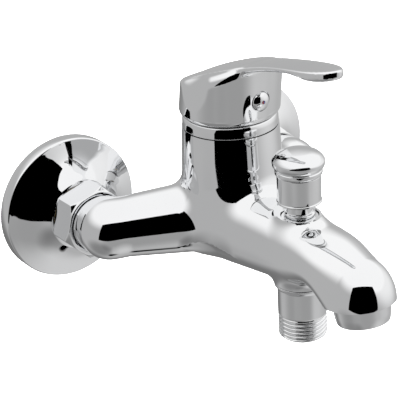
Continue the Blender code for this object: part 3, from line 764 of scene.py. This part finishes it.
def flange(side, x):
    """A dished escutcheon: a rim on the wall that rises in a bell to the nut."""
    bell = ((15.4, 15.8), (19.5, 12.3), (23.5, 9.7), (27.5, 7.9), (31.8, 6.5))
    inner = ((15.4, 14.6), (19.5, 10.9), (23.5, 8.3), (27.5, 6.4), (31.0, 5.2))
    radii = np.linspace(bell[0][0], bell[-1][0], 22)[::-1]
    hollow_radii = np.linspace(inner[0][0], inner[-1][0], 12)
    edge_z, edge_width, edge_height = FLANGE_RIM - 0.4, 0.9, 1.1
    outline = [(FLANGE_RADIUS, 0.0), (FLANGE_RADIUS, edge_z)]
    for degrees in (15, 35, 55, 75, 90):
        bend = math.radians(degrees)
        outline.append((FLANGE_RADIUS - edge_width + edge_width * math.cos(bend),
                        edge_z + edge_height * math.sin(bend)))
    outline += list(zip(radii, smooth_value(bell, 1, radii)))[1:]
    outline += [(13.3, 15.8), (13.3, 14.7)]
    outline += list(zip(hollow_radii, smooth_value(inner, 1, hollow_radii)))
    outline += [(30.9, 4.7), (30.9, 0)]
    thing = turned(side + "_escutcheon", outline, (x, 0, 0), (0, -1, 0), 160)
    stands_for(thing, side + "_flange")


def hexagon(apothem, phase):
    """A limit on the radius, as six flats give it."""
    def reach(radius, height, angle):
        within = (angle - phase + math.pi / 6) % (math.pi / 3) - math.pi / 6
        return min(radius, apothem / math.cos(within))
    return reach


def union_nut(side, x):
    """A hexagon, chamfered at both ends, with a turned collar in front."""
    chamfer = [(15.2 + 2.0 * t, NUT_BACK + 1.1 * t) for t in np.linspace(0, 1, 7)]
    nose = [(17.2 - 2.2 * t, NUT_FRONT - 3.0 + 2.1 * t) for t in np.linspace(0, 1, 9)]
    front = [(14.8, NUT_FRONT - 0.4), (14.4, NUT_FRONT), (10.6, NUT_FRONT)]
    outline = [(13.0, NUT_BACK)] + chamfer + nose + front + [(10.6, 24.4), (13.0, 24.4)]
    flats = hexagon(NUT_APOTHEM, NUT_PHASE)
    stands_for(turned(side + "_nut", outline, (x, 0, 0), (0, -1, 0), 288, flats), side + "_union_nut")


def trim_ring():
    outline = rounded([(18.7, 44.3), (20.7, 44.3, 0.25), (20.55, 47.6, 1.0), (20.2, 48.9, 0.7),
                       (19.6, 49.4, 0.3), (18.7, 49.4)], 0.2)
    stands_for(turned("trim", outline, (0, BODY_Y, 0), segments=160), "trim_ring")


def diverter_pieces():
    """The stem in the boss, and the knob's skirt and domed head that slide over it."""
    axis = (0, DIVERTER_Y, 0)
    bonnet = rounded([(4.7, 12.2), (7.75, 12.2), (7.75, 16.3, 0.2), (6.5, 16.3, 0.2), (6.5, 18.2, 0.5),
                      (5.5, 18.7, 0.4), (5.5, 27.6, 0.3), (5.1, 28.0, 0.2), (2.2, 28.0), (2.2, 27.2),
                      (3.45, 27.2), (3.45, 25.8), (2.2, 25.8), (2.2, 25.0), (4.7, 25.0)], 0.1)
    stands_for(turned("stem", bonnet, axis), "diverter_bonnet")
    sleeve = rounded([(6.3, KNOB_BOTTOM), (9.45, KNOB_BOTTOM, 0.2), (9.45, 23.8, 0.15),
                      (9.1, 24.2, 0.2), (9.15, 29.0, 2.0), (9.2, 35.2, 0.25), (2.2, 35.2), (2.2, 33.8),
                      (6.3, 33.8)], 0.15)
    stands_for(turned("knob_skirt", sleeve, axis), "knob_sleeve")
    cap = solid_of([(0, 40.0), (2.2, 40.0), (2.2, 35.5), (9.6, 35.5, 0.2), (9.9, 36.1, 0.2),
                    (9.9, 37.4, 0.15), (9.5, 37.8, 0.2), (10.3, 38.5, 0.3), (10.9, 39.6, 0.8),
                    (10.95, 41.5, 0.4), (10.3, 42.5, 0.5), (9.0, 43.9, 1.0), (6.0, 45.0, 2.2),
                    (0, 45.6)], 0.15)
    stands_for(turned("knob_head", cap, axis, closed=False), "knob_cap")


def spring():
    """The diverter's spring, in round wire, with a mesh of its own."""
    per_turn, around = 48, 12
    steps = SPRING_TURNS * per_turn
    points, faces = [], []
    for step in range(steps + 1):
        angle = math.tau * step / per_turn
        height = SPRING_LOW + (SPRING_HIGH - SPRING_LOW) * step / steps
        for corner in range(around):
            turn = math.tau * corner / around
            radius = SPRING_RADIUS + SPRING_WIRE * math.cos(turn)
            points.append((radius * math.cos(angle), DIVERTER_Y + radius * math.sin(angle),
                           height + SPRING_WIRE * math.sin(turn)))
    for step in range(steps):
        here, ahead = step * around, (step + 1) * around
        for corner in range(around):
            after = (corner + 1) % around
            faces.append((here + corner, here + after, ahead + after, ahead + corner))
    last = steps * around
    faces += [range(around), range(last + around - 1, last - 1, -1)]
    thing = new_object("spring_wire", points, faces)
    thing.data.shade_smooth()
    stands_for(thing, "diverter_spring")
    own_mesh(thing)


def thread(low, high):
    """The radius under a helical V thread between two heights, which fades out at both ends."""
    def reach(radius, height, angle):
        if not low < height < high or radius < THREAD_ROOT:
            return radius
        turn = (height / THREAD_PITCH - angle / math.tau) % 1.0
        # The V's flanks, cut off flat at the root and at the crest
        ridge = np.clip(1.55 * (1 - abs(2 * turn - 1)) - 0.2, 0, 1)
        fade = min(1.0, (height - low) / THREAD_FADES[0], (high - height) / THREAD_FADES[1])
        return radius - (radius - THREAD_ROOT) * fade * (1 - ridge)
    return reach


def shower_outlet():
    """The nipple under the spout: a plain collar and shank, then the hose thread."""
    upper = rounded([(7.0, -8.8), (8.9, -8.8), (8.9, -13.5), (11.7, -13.5, 0.25), (11.6, -14.7, 0.3),
                     (10.6, -15.4, 0.3), (THREAD_CREST, -16.0, 0.3), (THREAD_CREST, -27.6)], 0.2,
                    closed=False)
    heights = np.arange(-27.8, NIPPLE_BOTTOM + 0.9, -THREAD_STEP)
    crests = [(THREAD_CREST, height) for height in heights]
    lower = [(10.1, NIPPLE_BOTTOM + 0.7), (9.5, NIPPLE_BOTTOM + 0.2), (9.2, NIPPLE_BOTTOM),
             (7.0, NIPPLE_BOTTOM)]
    outlet = turned("hose_outlet", upper + crests + lower, (0, DIVERTER_Y, 0), segments=120,
                    radius_at=thread(NIPPLE_BOTTOM + 0.8, -27.8))
    stands_for(outlet, "shower_outlet_nipple")


def aerator():
    """The ring at the spout's end, tilted with it. Heights run downwards from the outlet."""
    outline = rounded([(9.0, -6.4), (10.9, -6.4), (10.9, 0.3), (11.95, 0.3, 0.25), (11.4, 5.6, 1.5),
                       (10.9, 8.0, 0.5), (10.4, 8.4, 0.35), (9.5, 8.4, 0.3), (9.5, 6.7), (8.3, 6.7),
                       (8.3, 5.5), (9.0, 5.5)], 0.15)
    stands_for(turned("aerator_ring", outline, OUTLET, outlet_direction()), "aerator_housing")


# Studio

def camera():
    data = bpy.data.cameras.new("camera")
    data.lens = CAMERA_LENS
    data.sensor_width = SENSOR
    data.clip_start = 0.05
    data.clip_end = 100
    right, up = Vector(CAMERA_RIGHT).normalized(), Vector(CAMERA_UP)
    back = right.cross(up).normalized()
    up = back.cross(right)
    turn = Matrix((right, up, back)).transposed()
    thing = bpy.data.objects.new("camera", data)
    thing.matrix_world = Matrix.Translation(Vector(CAMERA_PLACE) * MM) @ turn.to_4x4()
    bpy.context.scene.collection.objects.link(thing)
    bpy.context.scene.camera = thing


def plain_sheet(name, corners, faces, tone, glow):
    """Flat sheets of the studio, with no gloss. They aren't part of the object."""
    thing = new_object(name, corners, faces)
    material, shader = new_material(name, (tone, tone, tone), 1.0, 0.0)
    shader.inputs["Specular IOR Level"].default_value = 0
    shader.inputs["Emission Color"].default_value = (1, 1, 1, 1)
    shader.inputs["Emission Strength"].default_value = glow
    thing.data.materials.append(material)
    return thing


def floor():
    """A pale floor with far pale walls. The polished pieces mirror the studio's own tones instead."""
    around = [(x * WALL_REACH, y * WALL_REACH) for x, y in ((-1, -1), (1, -1), (1, 1), (-1, 1))]
    corners = [(x, y, z) for z in (FLOOR_Z, WALL_REACH) for x, y in around]
    faces = [(0, 1, 2, 3)]
    faces += [(side, (side + 1) % 4, (side + 1) % 4 + 4, side + 4) for side in range(4)]
    plain_sheet("floor", corners, faces, 0.9, 1.0).visible_glossy = False


def dark_opening():
    """The unlit front of the tent: a black card, which faces the object from the camera's side."""
    corners = []
    for turn, rise in CARD:
        turn = math.radians(turn)
        height = CARD_Z + CARD_DISTANCE * math.tan(math.radians(rise))
        corners.append((CARD_DISTANCE * math.sin(turn), DIVERTER_Y - CARD_DISTANCE * math.cos(turn),
                        height))
    plain_sheet("dark_opening", corners, [(0, 1, 2, 3)], 0.0, 0.0).visible_camera = False


def toward(tree, direction, start, end, amount):
    """A world tone that grows smoothly to the amount as a ray turns towards the direction."""
    place = tree.nodes.new("ShaderNodeTexCoord")
    dot = tree.nodes.new("ShaderNodeVectorMath")
    dot.operation = "DOT_PRODUCT"
    dot.inputs[1].default_value = Vector(direction).normalized()
    tree.links.new(place.outputs["Generated"], dot.inputs[0])
    spread = tree.nodes.new("ShaderNodeMapRange")
    spread.interpolation_type = "SMOOTHSTEP"
    for name, value in (("From Min", start), ("From Max", end), ("To Min", 0.0), ("To Max", amount)):
        spread.inputs[name].default_value = value
    tree.links.new(dot.outputs["Value"], spread.inputs["Value"])
    return spread.outputs["Result"]


def arithmetic(tree, operation, first, second):
    """One arithmetic node. The second value is a socket or a number."""
    node = tree.nodes.new("ShaderNodeMath")
    node.operation = operation
    tree.links.new(first, node.inputs[0])
    if isinstance(second, float):
        node.inputs[1].default_value = second
    else:
        tree.links.new(second, node.inputs[1])
    return node.outputs["Value"]


def tent():
    """A bright world: lightest above and at the right, greyer at table height and behind."""
    world = bpy.data.worlds.new("studio")
    world.use_nodes = True
    tree = world.node_tree
    total, *others = [toward(tree, *tone) for tone in TONES]
    for other in others:
        total = arithmetic(tree, "ADD", total, other)
    strength = arithmetic(tree, "MINIMUM", total, BRIGHTEST)
    background = tree.nodes["Background"]
    background.inputs["Color"].default_value = (1, 1, 1, 1)
    tree.links.new(strength, background.inputs["Strength"])
    bpy.context.scene.world = world
    bpy.context.scene.view_settings.view_transform = "Standard"


def main():
    """Every frame node gets its finish, then finer pieces stand in for those that show."""
    for node, thing in frame["nodes"].items():
        thing.data.materials.clear()
        thing.data.materials.append(MATERIALS[NODE_SLOT[node]])
    for side, sign in (("left", -1), ("right", 1)):
        flange(side, sign * INLET_X)
        union_nut(side, sign * INLET_X)
    mixer_body()
    lever_handle()
    index_cap()
    trim_ring()
    diverter_pieces()
    spring()
    shower_outlet()
    aerator()
    camera()
    floor()
    tent()
    dark_opening()


def corners(box):
    return [list(corner) for corner in box]


main()
